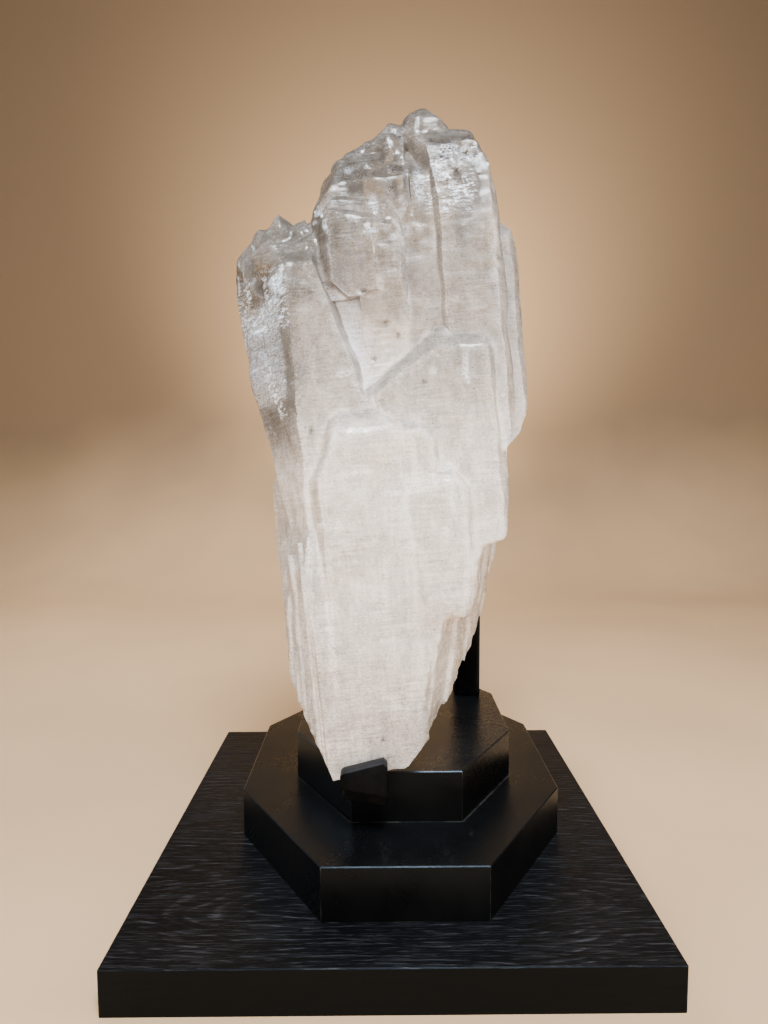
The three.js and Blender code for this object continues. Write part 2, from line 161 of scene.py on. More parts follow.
# %% Lamps
SKY = (0.88, 0.94, 1.0)
BLUE_SKY = (0.78, 0.89, 1.0)
SPARKLE_WHITE = (0.90, 0.94, 1.0)
WARM_ROOM = (1.0, 0.945, 0.89)
AMBER = (1.0, 0.84, 0.62)
MIDDLE = (0, 0, 0.50)
FILLS = [("fill_front", (-0.35, -2.70, 0.95), 1.70, 68),
         ("fill_right", (2.30, -0.50, 1.30), 1.00, 16),
         ("fill_behind", (-0.90, 2.00, 1.90), 1.00, 20)]
GLOW_SPREAD = 85


def softbox(name, at, towards, size, watts, colour):
    """A square area lamp that faces a point and isn't itself seen."""
    bpy.ops.object.select_all(action="DESELECT")
    bpy.ops.object.light_add(type="AREA", location=at)
    lamp = bpy.context.object
    lamp.name = name
    lamp.rotation_euler = (Vector(towards) - Vector(at)).to_track_quat("-Z", "Y").to_euler()
    lamp.data.size = size
    lamp.data.energy = watts
    lamp.data.color = colour
    lamp.visible_camera = False
    return lamp


softbox("window_high", (0.20, -1.30, 2.60), (0.06, -0.06, 0.80), 0.85, 71, SKY)
softbox("window_left", (-1.95, 0.85, 1.50), (-0.15, -0.07, 0.76), 0.40, 7, BLUE_SKY)
for name, at, size, watts in FILLS:
    fill = softbox(name, at, MIDDLE, size, watts, WARM_ROOM)
    fill.visible_glossy = False
sparkle = softbox("sparkle", (0.30, -1.90, 1.85), (0.05, -0.1, 0.75), 0.26, 3.0, SPARKLE_WHITE)
sparkle.visible_diffuse = False
sparkle.visible_transmission = False
glow = softbox("glow_behind", (0.05, 1.05, 0.75), (0.10, 2.6, 1.45), 0.40, 18, AMBER)
glow.data.spread = math.radians(GLOW_SPREAD)
print("lamps", len(bpy.data.lights))

# %% [markdown]
# ## The room
# Glossy things show what is round them, so the world isn't plain black. A ramp on the direction's
# height makes it warm and pale at the horizon and darker overhead. AgX turns the light into a
# picture, with a look that deepens the darks a little.

# %% The room's light
HORIZON = (0.62, 0.56, 0.49, 1)
OVERHEAD = (0.10, 0.10, 0.10, 1)
OVERHEAD_FROM = 0.75
ROOM_STRENGTH = 0.35

world = bpy.data.worlds.new("studio")
bpy.context.scene.world = world
world.use_nodes = True
room = world.node_tree
direction = room.nodes.new("ShaderNodeTexCoord")
axes = room.nodes.new("ShaderNodeSeparateXYZ")
ramp = room.nodes.new("ShaderNodeValToRGB")
room.links.new(direction.outputs["Generated"], axes.inputs["Vector"])
room.links.new(axes.outputs["Z"], ramp.inputs["Fac"])
ramp.color_ramp.elements[0].color = HORIZON
ramp.color_ramp.elements[1].color = OVERHEAD
ramp.color_ramp.elements[1].position = OVERHEAD_FROM
room.links.new(ramp.outputs["Color"], room.nodes["Background"].inputs["Color"])
room.nodes["Background"].inputs["Strength"].default_value = ROOM_STRENGTH
bpy.context.scene.view_settings.view_transform = "AgX"
bpy.context.scene.view_settings.look = "AgX - Medium High Contrast"


# %% [markdown]
# ## Shader sums
# A finish is worked out in sums on numbers that change over the surface. One small class holds such
# a number's socket, and its operators add the Math nodes, so a mask reads like a line of arithmetic.

# %% Sockets in sums
def plug(tree, socket, value):
    """Feeds an input socket with another socket, or with a plain value."""
    if isinstance(value, Number):
        value = value.socket
    if isinstance(value, bpy.types.NodeSocket):
        tree.links.new(value, socket)
    else:
        socket.default_value = value


class Number:
    """One number that changes over a surface."""

    def __init__(self, finish, socket):
        self.finish = finish
        self.socket = socket

    def sum(self, operation, *values, clamp=False):
        """One Math node on these values."""
        return self.finish.node("Math", {"operation": operation, "use_clamp": clamp}, *values)

    def __add__(self, other):
        return self.sum("ADD", self, other)

    __radd__ = __add__

    def __mul__(self, other):
        return self.sum("MULTIPLY", self, other)

    __rmul__ = __mul__

    def __sub__(self, other):
        return self.sum("SUBTRACT", self, other)

    def __rsub__(self, other):
        return self.sum("SUBTRACT", other, self)

    def __pow__(self, other):
        return self.sum("POWER", self, other)

    def __abs__(self):
        return self.sum("ABSOLUTE", self)

    def most(self, other):
        """The larger of two numbers."""
        return self.sum("MAXIMUM", self, other)

    def held(self):
        """The number kept between 0 and 1."""
        return self.sum("ADD", self, 0.0, clamp=True)

    def rise(self, low, high, to_low=0.0, to_high=1.0):
        """Goes smoothly from to_low to to_high while the number goes from low to high."""
        settings = {"interpolation_type": "SMOOTHSTEP"}
        inputs = {"Value": self, "From Min": low, "From Max": high,
                  "To Min": to_low, "To Max": to_high}
        return self.finish.node("MapRange", settings, inputs)


class Finish:
    """A material and the nodes that make it."""

    def __init__(self, name):
        self.material = bpy.data.materials.new(name)
        self.material.use_nodes = True
        self.tree = self.material.node_tree
        self.tree.nodes.clear()
        self.output = self.tree.nodes.new("ShaderNodeOutputMaterial")
        self.place = self.node("TexCoord", {}, out="Object")

    def node(self, kind, settings, *values, out=None):
        """Adds a node, sets it, feeds its sockets in order or by name, and gives one output."""
        made = self.tree.nodes.new("ShaderNode" + kind)
        for key, value in settings.items():
            setattr(made, key, value)
        for index, value in enumerate(values):
            pairs = value.items() if isinstance(value, dict) else [(index, value)]
            for key, given in pairs:
                plug(self.tree, made.inputs[key], given)
        if out is False:
            return made
        outputs = [socket for socket in made.outputs if socket.enabled]
        return Number(self, made.outputs[out] if out else outputs[0])

    def parts(self, vector):
        """The x, y and z of a vector."""
        split = self.node("SeparateXYZ", {}, vector, out=False)
        return [Number(self, socket) for socket in split.outputs]

    def stretched(self, vector, scale):
        """A vector with each axis scaled, so that a noise on it is drawn out along the small one."""
        return self.node("VectorMath", {"operation": "MULTIPLY"}, vector, scale)

    def mist(self, vector, scale, detail, roughness):
        """Soft noise between 0 and 1."""
        inputs = {"Vector": vector, "Scale": scale, "Detail": detail, "Roughness": roughness}
        return self.node("TexNoise", {}, inputs)

    def attribute(self, name):
        """A number stored on the piece's vertices."""
        return self.node("Attribute", {"attribute_name": name}, out="Fac")

    def blend(self, share, first, second):
        """Mixes two colours."""
        inputs = {0: share, 6: first, 7: second}
        made = self.node("Mix", {"data_type": "RGBA"}, inputs, out=False)
        return Number(self, made.outputs[2])

    def bump(self, height, distance, strength):
        """Tilts the light on the surface as that height would."""
        inputs = {"Height": height, "Distance": distance, "Strength": strength}
        return self.node("Bump", {}, inputs)

    def surface(self, inputs):
        """A Principled surface with these sockets."""
        return self.node("BsdfPrincipled", {}, inputs)

    def wear(self, shader, volume=None):
        """Puts the shader on the material."""
        self.tree.links.new(shader.socket, self.output.inputs["Surface"])
        if volume is not None:
            self.tree.links.new(volume.socket, self.output.inputs["Volume"])
        return self.material


def dress(piece, material):
    """Gives a piece one material all over."""
    piece.data.materials.clear()
    piece.data.materials.append(material)
    return piece


# %% [markdown]
# ## The floor's paper
# The sweep is plain warm paper: pale on the floor and darker up the wall, with a slight unevenness
# of tone.

# %% Paper
FLOOR_PAPER = (0.82, 0.585, 0.37, 1)
WALL_PAPER = (0.37, 0.27, 0.18, 1)
paper = Finish("sweep_paper")
mottle = paper.mist(paper.place, 1.7, 2, 0.6).rise(0.3, 0.7, 0.0, 0.15)
wall_share = (paper.parts(paper.place)[2].rise(0.0, BEND, 0.05, 1.0) + mottle).held()
colour = paper.blend(wall_share, FLOOR_PAPER, WALL_PAPER)
dress(sweep, paper.wear(paper.surface({"Base Color": colour, "Roughness": 0.85})))

# %% [markdown]
# ## The stone's surface
# The solid has the flat faces and the steps of the crystals. A real face isn't quite flat: growth
# left low terraces and level striations on it, its edges are chipped, and the broken places are
# rough. The copy is stood upright, remeshed into even small quads that keep the sharp edges, and
# each vertex is then pushed along its normal by a height that a few noise fields give. A height for
# each vertex is worked out in code, because no brush or texture knows the crystal's own directions.

# %% Stand the stone upright and remesh it
FOOT_AT = (0.060, -0.035, 0)
LEANS_BACK, LEANS_LEFT = -4, -5
REMESH_DEPTH = 8
REMESH_SCALE = 0.99

LEAN = (Matrix.Translation(FOOT_AT) @ Matrix.Rotation(math.radians(LEANS_BACK), 4, "X")
        @ Matrix.Rotation(math.radians(LEANS_LEFT), 4, "Y"))
stone = welded_copy("quartz_crystal", "quartz_stone")
stone.matrix_world = LEAN.inverted()
settle(stone)
even = stone.modifiers.new("even", "REMESH")
even.mode = "SHARP"
even.octree_depth = REMESH_DEPTH
even.scale = REMESH_SCALE
even.sharpness = 1.0
finish_modifiers(stone)
print("stone faces", len(stone.data.polygons))

# %% Read the vertices, their directions and their neighbours
MM = 0.001


def column(piece, name):
    """One vector for each vertex of a piece: its place (co) or its direction (normal)."""
    values = np.empty(len(piece.data.vertices) * 3, np.float32)
    piece.data.vertices.foreach_get(name, values)
    return values.reshape(-1, 3).astype(float)


def ends_of_edges(piece):
    """The two vertices of each edge."""
    values = np.empty(len(piece.data.edges) * 2, np.int32)
    piece.data.edges.foreach_get("vertices", values)
    return values.reshape(-1, 2)


def neighbour_mean(values, edges):
    """For each vertex, the mean of the values next to it."""
    total = np.zeros_like(values)
    count = np.zeros(len(values))
    for one, other in (edges.T, edges.T[::-1]):
        np.add.at(total, one, values[other])
        np.add.at(count, one, 1)
    return (total.T / np.maximum(count, 1)).T


def spread(weights, edges, rings, keep):
    """Carries weights out over a few rings of neighbours, weaker at each ring."""
    for _ in range(rings):
        wider = weights.copy()
        for one, other in (edges.T, edges.T[::-1]):
            np.maximum.at(wider, one, weights[other] * keep)
        weights = wider
    return weights


# %% Soft steps and bands
def step(values, low, high):
    """Goes smoothly from 0 to 1 while the values go from low to high."""
    share = np.clip((values - low) / (high - low), 0, 1)
    return share * share * (3 - 2 * share)


def between(values, low, low_end, high_end, high):
    """1 in a band, rising from low to low_end and falling from high_end to high."""
    return step(values, low, low_end) * (1 - step(values, high_end, high))


# %% Noise on the vertices: the size of a hill or a block is in millimetres on each axis
def hills(points, size, seed=0.0):
    """Soft noise from -1 to 1."""
    spots = points / (np.array(size) * MM) + (seed * 17.3, seed * 5.1, seed * 9.7)
    return np.array([noise.noise(spot) for spot in spots.tolist()])


def ridges(points, size, seed=0.0):
    """Sharp-crested noise from 0 to about 1, as on a broken surface."""
    spots = points / (np.array(size) * MM) + (seed * 11.9, seed * 3.7, seed * 21.1)
    return np.array([noise.ridged_multi_fractal(spot, 0.9, 2.1, 4, 0.9, 1.6)
                     for spot in spots.tolist()]) * 0.5


def tiles(points, size, seed=0.0):
    """Small blocks that each lean their own way, from -1 to 1, as on a face that grew in steps."""
    warp = hills(points, (45, 45, 45), seed + 3) * 0.35
    spots = points / (np.array(size) * MM) + (seed * 7.7, seed * 3.3, seed * 1.9) + warp[:, None]
    corner = np.floor(spots)
    lean = np.array([noise.cell_vector(spot) for spot in (corner + 0.5).tolist()]) * 2 - 1
    return ((spots - corner - 0.5) * lean).sum(1) + lean[:, 0] * 0.4


# %% [markdown]
# ## Places on the stone
# A chipped edge, a broken root and a glossy face each need their own relief and colour. They could be
# painted by hand. Here each is a mask, a number from 0 to 1 on every vertex, made from the vertex's
# place, in millimetres, and its direction. The masks use the upright stone's own directions: its
# prism faces stand upright, its points slope, and its broken root looks down.

# %% Edges and creases, found from how far a vertex stands out from its neighbours
spots = column(stone, "co")
facing = column(stone, "normal")
edges = ends_of_edges(stone)
x, y, z = spots.T / MM
out_x, out_y, out_z = facing.T

hump = ((spots - neighbour_mean(spots, edges)) * facing).sum(1) / MM
convex = spread(step(hump, 0.18, 0.55), edges, 2, 0.62)
creased = spread(step(-hump, 0.2, 0.7), edges, 1, 0.4)
creased *= 0.25 + 0.75 * step(hills(spots, (24, 24, 34), 19), -0.30, 0.30)
print("edge vertices", int((convex > 0.5).sum()), "crease vertices", int((creased > 0.2).sum()))

# %% Which way the faces look
upright = 1 - step(abs(out_z), 0.25, 0.5)
point_faces = step(out_z, 0.22, 0.45)
front = step(-out_y, 0.55, 0.85)
facing_you = step(-out_y, 0.4, 0.7)
turned_away = step(np.abs(out_x), 0.45, 0.8)

# %% Broken and worn places
root = step(-out_z, 0.12, 0.35) * (1 - step(z, 560, 640))
right_break = step(x, 20, 60) * (1 - step(z, 395, 440)) * step(out_x, 0.15, 0.5)
left_head = step(z, 800, 830) * (1 - step(x, -84, -72))
crest = step(z + 0.55 * np.abs(x - 60), 968, 990) * step(z, 870, 900)
head = np.maximum(left_head, crest)
rough = np.maximum(root, right_break)
clean = 1 - np.maximum(rough, head * 0.5)
ledges = step(x, 15, 45) * between(z, 300, 335, 470, 500)

# %% Faces and corners with a look of their own
left_crystal = step(-x, 96, 125) * step(z, 470, 640)
left_face = step(-out_x, 0.35, 0.6) * (1 - step(x, -118, -108)) * step(z, 540, 600)
mirror_top = step(x, 74, 84) * between(z, 890, 906, 985, 1000) * step(-out_y, 0.5, 0.8)
glinting = between(x, 58, 70, 124, 134) * between(z, 848, 872, 945, 962) * facing_you
hollow = step(-x, -36, -26) * between(z, 640, 660, 770, 790) * step(y, -96, -88) * facing_you
notch = between(x, 36, 46, 66, 76) * between(z, 925, 940, 985, 995)
flank = step(-x, 104, 114) * between(z, 176, 230, 470, 500)
pitted = between(x, 10, 30, 84, 96) * between(z, 655, 680, 760, 790) * front
walls = turned_away * (1 - step(np.abs(x - 10), 100, 125))
# A ladder of short painted highlights on the left crystal's face.
glint_ladder = ((1 - step(np.abs(x + 158 - (695 - z) * 0.3), 4, 9)) * between(z, 620, 630, 696, 706)
          * step(-out_x, 0.2, 0.4))

# %% [markdown]
# ## The relief
# The heights are given in millimetres, and below the surface where they can be, so the stone keeps
# its size. The weathered heads and the broken ledges are first smoothed, and the edges wander a
# little, because no crystal's edge is ruled.

# %% Round the weathered heads and the broken ledges
ROUNDS = 9
ROUNDING = 0.7
worn = spots.copy()
for _ in range(ROUNDS):
    worn += (neighbour_mean(worn, edges) - worn) * (np.maximum(head, ledges) * ROUNDING)[:, None]
spots = worn

# %% Let the edges wander a little
LONG_WAVES, LONG_PUSH = 46, 3.4
SHORT_WAVES, SHORT_PUSH = 15, 1.2


def drift(size, seed):
    """A soft sideways push for every vertex, from -1 to 1."""
    return np.stack([hills(spots, (size, size, size * 1.3), seed + axis) for axis in range(3)], 1)


free = between(z, 215, 300, 990, 1020)
push = drift(LONG_WAVES, 20) * LONG_PUSH + drift(SHORT_WAVES, 24) * SHORT_PUSH
drifted = spots + push * (free * MM)[:, None]

# %% Growth: low swells, level striations, terraces and blocks
height = 0.6 * hills(spots, (90, 90, 70), 1) * clean
height += 0.40 * hills(spots, (60, 60, 7), 2) * upright * clean
terraces = hills(spots, (60, 60, 44), 3) + 0.30 * hills(spots, (16, 16, 10), 4)
height += 1.7 * (np.floor(terraces * 3.0) / 3.0 - 0.2) * clean
height += 1.5 * tiles(spots, (12, 60, 10), 5) * mirror_top
height += 0.28 * tiles(spots, (60, 30, 14), 6) * left_face * clean
height += 0.9 * tiles(spots, (40, 60, 7), 7) * hollow

# %% Damage: slivers, broken ground, chipped edges and pits
slivers = hills(spots, (6, 6, 85), 8) + 0.5 * hills(spots, (3.5, 3.5, 60), 9)
height += 0.5 * slivers * np.maximum(flank, right_break) * (1 - root * 0.6)
broken_ground = np.maximum(rough, np.maximum(head * 0.07, ledges * 0.16))
height -= broken_ground * (1.9 * ridges(spots, (34, 34, 34), 10) + 0.8)
height += np.maximum(rough, head * 0.32) * 1.3 * tiles(spots, (15, 15, 12), 11)
chips = hills(spots, (11, 11, 15), 12) + 0.6 * hills(spots, (4.5, 4.5, 6), 13)
height -= convex * (0.3 + 2.0 * step(chips, 0.3, 0.9)) * (1 - head * 0.7)
pits = step(hills(spots, (7, 7, 7), 14), 0.46, 0.7)
height -= pits * (0.7 + 1.9 * pitted)

# %% Small holes in the front, each at x, z with its half width and half height
HOLES = [(0, 732, 6, 3), (15, 717, 4, 5), (-20, 692, 4, 4), (-13, 768, 9, 3), (-24, 772, 5, 3),
         (40, 653, 4, 3), (-49, 222, 2.5, 2.5), (-66, 596, 5, 2.5), (-104, 604, 3, 6)]
HOLE_DEPTH = 3.2
near_front = step(-y, 60, 70)
dug = np.zeros(len(z))
for at_x, at_z, half_wide, half_high in HOLES:
    away = np.hypot((x - at_x) / half_wide, (z - at_z) / half_high)
    dug = np.maximum(dug, (1 - step(away, 0.3, 1.3)) * facing_you * near_front)
height -= HOLE_DEPTH * dug

# %% Keep the foot within its solid, for the clip, and the rest hardly proud of it
PROUD = 0.35
foot = 1 - step(z, 215, 250)
height = np.minimum(height, np.where(foot > 0.01, 0.0, PROUD))

# %% [markdown]
# ## Milk and tone
# The same masks say how milky and how pale each place is. The lower half is white with milk, and the
# crest is greyer and clearer. The paleness also holds painted light and shade: creases, the hollow
# and a notch near the crest are painted paler to lift their shade, edges get a faint painted
# highlight, and faces that turn away or slope up, faces set back behind the front ones and the small
# holes are painted darker, as painted shade. Both numbers are stored on the vertices, where the
# finish reads them.

# %% How milky each place is
milk = 0.84 - 0.20 * step(z, 560, 760) - 0.16 * step(z, 760, 930)
milk += 0.08 * head
milk -= point_faces * 0.04 * (1 - head)
milk += hollow * 0.20 + convex * 0.08 + creased * 0.20 + left_face * 0.34
milk += walls * 0.04 + notch * 0.20
milk += 0.09 * hills(spots, (70, 70, 110), 15) + 0.05 * hills(spots, (14, 14, 22), 16)
milk -= mirror_top * 0.10
milk = np.clip(milk, 0.10, 0.97)

# %% How pale each place is, with its painted light and shade
pale_with_painted_light = 0.86 - 0.26 * step(z, 580, 690) - 0.14 * step(z, 690, 840) - 0.24 * step(z, 860, 950)
pale_with_painted_light -= 0.14 * (1 - step(x, 35, 75)) * step(z, 740, 790)
pale_with_painted_light -= 0.40 * left_crystal * step(z, 500, 700)
# Painted light and shade: turned-away and sloping faces are painted darker, creases, the hollow and
# the notch paler, and edges get a faint painted highlight.
pale_with_painted_light += 0.01 * walls + 0.10 * notch - 0.03 * turned_away - point_faces * 0.02 * (1 - head)
pale_with_painted_light += hollow * 0.34 + creased * 0.34 + convex * 0.05
# Painted shade in the small holes; the left face, the flank and the heads are darker.
pale_with_painted_light -= left_face * 0.24 + flank * 0.14 + dug * 0.4 + crest * 0.27 + left_head * 0.32
pale_with_painted_light -= 0.30 * (1 - step(z, 176, 450)) + 0.05 * right_break
# Painted shade on faces set back behind the front ones.
set_back_shade = step(y, -128, -116) * step(z, 500, 620)
pale_with_painted_light -= (0.20 * (1 - step(x, 135, 150)) - 0.02 * step(x, 135, 150)) * set_back_shade
pale_with_painted_light -= 0.08 * (1 - step(y, -134, -126)) * step(z, 520, 580)
pale_with_painted_light += 0.10 * hills(spots, (55, 55, 80), 17)
pale_with_painted_light += 0.07 * hills(spots, (18, 18, 26), 18) * step(z, 560, 700)
pale_with_painted_light = np.clip(pale_with_painted_light, 0.0, 1.0)
print("milk", round(milk.mean(), 2), "paleness_with_painted_light", round(pale_with_painted_light.mean(), 2))

# %% Painted flashes of light, where a crack inside or a level ledge would shine white: x, z, half width, half height, strength
FLASHES = [
    (-36, 599, 33, 2.2, 0.9), (4, 518, 30, 2.0, 0.6), (-84, 487, 12, 12, 0.2),
    (-101, 487, 6, 2.4, 1.0), (48, 468, 4, 5, 0.6), (-29, 414, 2.2, 42, 0.35),
    (95, 664, 2.0, 24, 0.6), (52, 664, 4, 5, 0.45), (-10, 560, 26, 2.0, 0.4),
    (-52, 548, 22, 1.8, 0.35), (20, 548, 2.4, 40, 0.35), (62, 500, 2.4, 22, 0.45),
    (-57, 672, 10, 2.5, 0.6), (-40, 657, 6, 3, 0.4), (-74, 905, 9, 2, 0.4),
    (-30, 936, 4, 6, 0.4), (-8, 846, 9, 2, 0.7), (20, 836, 8, 3, 0.4),
    (60, 905, 6, 26, 0.7), (-2, 884, 5, 14, 0.5), (-118, 452, 3, 30, 0.4),
    (-100, 330, 3, 60, 0.3), (20, 300, 40, 1.8, 0.25), (-30, 260, 30, 1.8, 0.25)]
SOFT_RIM = 1.6
lit = np.zeros(len(z))
for at_x, at_z, half_wide, half_high, strength in FLASHES:
    away = np.hypot((x - at_x) / (half_wide + SOFT_RIM), (z - at_z) / (half_high + SOFT_RIM))
    lit = np.maximum(lit, strength * (1 - step(away, 0.55, 1.15)) * near_front)
# Painted light in the hollow, lifting the shade under its ledge.
lit = np.maximum(lit, hollow * 0.5 * (1 - step(x, -42, -8)))

# %% Store the masks that the finish reads
# Several of these carry painted light: the paleness holds painted light and shade, and the flashes,
# glints, flecks, bright combed lines and dots on chipped edges are painted highlights.
MASKS = {"milk": milk, "pale_with_painted_light": pale_with_painted_light, "rough_break": rough, "chips_and_edge_glints": convex, "lit": lit,
         "glint": np.maximum(glinting, crest * 0.14 * (1 - step(x, 30, 60))),
         "combs_and_glints": np.clip(left_face * 0.2 + hollow * step(-x, -22, 4), 0, 1),
         "glint_flecks": np.maximum(left_face * between(z, 730, 745, 800, 825), glint_ladder)}
for name, values in MASKS.items():
    layer = stone.data.attributes.new(name, "FLOAT", "POINT")
    layer.data.foreach_set("value", values.astype(np.float32))

# %% Push the vertices and lean the stone back
FACET_EDGE = 24
spots = drifted + facing * (height * MM)[:, None]
stone.data.vertices.foreach_set("co", spots.astype(np.float32).ravel())
stone.data.update()
stone.matrix_world = LEAN
settle(stone)
bpy.ops.object.shade_smooth_by_angle(angle=math.radians(FACET_EDGE))
print("relief from", round(height.min(), 2), "to", round(height.max(), 2), "mm")

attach(stone, "root")
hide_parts("quartz_crystal")

# %% [markdown]
# ## Milky quartz
# Clear quartz lets light straight through. Milky quartz is full of tiny bubbles and fractures, which
# scatter the light inside. One glass surface would look empty and one white surface would look like
# plaster, so the finish mixes a clear and a milky surface by how milky each place is. Level
# striations, threads, specks and dashes are too fine for the mesh, so they are colour and bump.
# Glints
# are painted into the colour too: flecks, combed lines, dots on chipped edges, flashes and sparkles,
# as painted highlights in warm white below and bluish white towards the crest.

# %% Fine patterns on the upright stone's own axes
QUARTZ_IOR = 1.54

quartz = Finish("milky_quartz")
back = LEAN.inverted()
grown = quartz.node("Mapping", {"vector_type": "POINT"},
                    {"Vector": quartz.place, "Location": back.to_translation(),
                     "Rotation": back.to_euler()})
grown_z = quartz.parts(grown)[2]
woven = grown_z.rise(0.52, 0.70, 1.0, 0.25)

fine_lines = quartz.mist(quartz.stretched(grown, (0.09, 0.09, 1)), 300, 2, 0.7).rise(0.32, 0.68)
barred = quartz.mist(grown, 16, 1, 0.5).rise(0.42, 0.62, 0.25, 1.0)
striae = (fine_lines - 0.5) * (0.10 + barred * 0.9)
speckle = quartz.mist(quartz.stretched(grown, (1, 1, 1.7)), 330, 2, 0.7)
grains = speckle.rise(0.42, 0.54, 0.25, 1.0)
wisps = quartz.mist(quartz.stretched(grown, (1, 1, 0.6)), 55, 4, 0.75).rise(0.30, 0.70) - 0.5
threads = quartz.mist(quartz.stretched(grown, (1, 1, 0.16)), 270, 1, 0.5).rise(0.34, 0.66)
threads = (threads - 0.5) * woven
combs = quartz.mist(quartz.stretched(grown, (0.14, 0.14, 1)), 300, 1, 0.5)
dashes = quartz.mist(quartz.stretched(grown, (0.55, 0.55, 1.4)), 170, 2, 0.75)
patches = quartz.mist(grown, 42, 1, 0.5).rise(0.40, 0.52)

# %% Painted glints: warm white below, bluish white towards the crest
WARM_GLINT = (1.0, 0.965, 0.94, 1)
BLUE_GLINT = (0.80, 0.87, 1.0, 1)

glint = quartz.attribute("glint")
broken = quartz.attribute("rough_break")
combs_and_glints = quartz.attribute("combs_and_glints")
# Painted highlights: the glint mosaic, the flecks, the bright combed lines, dots on chipped edges,
# the flashes and the sparkles.
flash = (glint * dashes.rise(0.49, 0.55) * patches * (grains + striae * 0.8)
         + quartz.attribute("glint_flecks") * dashes.rise(0.51, 0.57) * grains
         + combs_and_glints * combs.rise(0.58, 0.66) * 0.18
         + quartz.attribute("chips_and_edge_glints") * speckle.rise(0.50, 0.62) * 0.14
         + quartz.attribute("lit") * speckle.rise(0.38, 0.54, 0.15, 1.0)
         + speckle.rise(0.645, 0.70) * woven * 0.40).held()
glint_colour = quartz.blend(grown_z.rise(0.60, 0.72), WARM_GLINT, BLUE_GLINT)

# %% Tone: the stored paleness with its painted light and shade, broken up by the patterns, and dark specks
DARKEST = (0.228, 0.210, 0.192, 1)
WHITEST = (0.945, 0.869, 0.812, 1)

paleness_with_painted_light = quartz.attribute("pale_with_painted_light") + striae * (0.06 + woven * 0.10) + threads * 0.11
paleness_with_painted_light = paleness_with_painted_light + (speckle - 0.5) * (0.45 + woven * 0.35) + wisps * 0.08
paleness_with_painted_light = paleness_with_painted_light + (combs - 0.5) * combs_and_glints * 0.7 - speckle.rise(0.30, 0.36, 0.30, 0.0)
whites = quartz.blend(paleness_with_painted_light.held(), DARKEST, WHITEST)
whites = quartz.blend(flash, whites, glint_colour)

# %% The clear and the milky surface, and their mix
BUMP_DISTANCE = 0.0016
SCATTER_REACH = (0.036, 0.033, 0.030)
CLEAR_BODY = (0.93, 0.93, 0.93, 1)
DEPTH_COLOUR = (0.70, 0.70, 0.70, 1)
DEPTH_DENSITY = 6.5

relief = (fine_lines * (0.03 + woven * 0.15) + speckle * 0.16
          + dashes * (glint * 1.3 + broken * 0.6))
dents = quartz.bump(relief, BUMP_DISTANCE, 0.8)
gloss = speckle.rise(0.3, 0.7, 0.10, 0.25)
milky = quartz.surface({
    "Base Color": whites, "Roughness": gloss, "IOR": QUARTZ_IOR, "Subsurface Weight": 0.75,
    "Subsurface Radius": SCATTER_REACH, "Subsurface Scale": 1.0, "Normal": dents})
clear = quartz.surface({
    "Base Color": CLEAR_BODY, "Roughness": gloss, "IOR": QUARTZ_IOR,
    "Transmission Weight": 1.0, "Normal": dents})
veil = (quartz.attribute("milk") + wisps * 0.18 + striae * 0.11 + flash * 0.5).held()
mixed = quartz.node("MixShader", {}, veil, clear, milky)
depth = quartz.node("VolumeAbsorption", {}, {"Color": DEPTH_COLOUR, "Density": DEPTH_DENSITY})
dress(stone, quartz.wear(mixed, depth))
print("quartz nodes", len(quartz.tree.nodes))

# %% [markdown]
# ## The boards' edges
# Every edge of a painted board wears to a thin pale line. A mask for that line can be worked out
# from the board's own shape: how close a point is to each of its flat sides. A point inside one side
# touches one, and a point on an edge touches two. The upright edges are rubbed less than the top
# ones, so the mask fades below the top.

# %% Sides of a board, as lines seen from above
def octagon(centre, half, front, back, side_front, side_back, flat, flat_back):
    """The five kinds of side of a tier, each a direction in |x - centre| and y with its distance."""
    corners = [(0, front), (flat, front), (half, side_front), (half, side_back),
               (flat_back, back), (0, back)]
    sides = []
    for (x_one, y_one), (x_two, y_two) in zip(corners, corners[1:]):
        long = math.hypot(x_two - x_one, y_two - y_one)
        across, ahead = (y_two - y_one) / long, -(x_two - x_one) / long
        sides.append((across, ahead, (across * x_one + ahead * y_one) * MM))
    return centre * MM, sides


LOWER = octagon(15, 215, -231, 292, -52, 170, 94.5, 132)
UPPER = octagon(20, 150, -137, 204, -13, 140, 69, 108)
PLINTH = (0.0, [(1, 0, 0.3), (0, -1, 0.3), (0, 1, 0.3)])
LOWER_TOP, UPPER_TOP, PLINTH_TOP = 0.115, 0.179, 0.051
TOP_STARTS, TOP_FULL = 0.0018, 0.0006
BLUE_GLOSS = (0.66, 0.82, 1.0, 1)


def distances(finish, outline):
    """How far inside each side of a board a point is, in metres: negative is inside."""
    centre, sides = outline
    x, y, _ = finish.parts(finish.place)
    from_middle = abs(x - centre)
    return [from_middle * across + y * ahead - reach for across, ahead, reach in sides]


def edge_wear(finish, outline, top, wide):
    """1 on the edges of a board, ragged and fainter on the upright ones, and 0 elsewhere."""
    ragged = finish.mist(finish.place, 55, 2, 0.7).rise(0.35, 0.7, -0.25, 0.5) * wide
    height = finish.parts(finish.place)[2] - top
    touch = sum((distance + wide + ragged).rise(0.0, wide)
                for distance in distances(finish, outline) + [height])
    return touch.rise(1.3, 1.9) * height.rise(-0.006, -wide, 0.30, 1.0)


# %% [markdown]
# ## Black-stained oak
# The plinth's top is an oak veneer stained nearly black. Stain fills the wood unevenly: the open
# pores read as fine pale streaks along the grain, and the growth rings as arches where the veneer
# was cut near the heart. A stretched noise makes the pores. The rings are the distance from a point
# near the front, longer along the grain than across it, cut into equal steps. The board's edges are
# plain black.

# %% Oak grain
HEART_AT = (0.03, -0.205)
HEART_STRETCH = (0.40, 3.0)
RINGS_A_METRE = 46.0

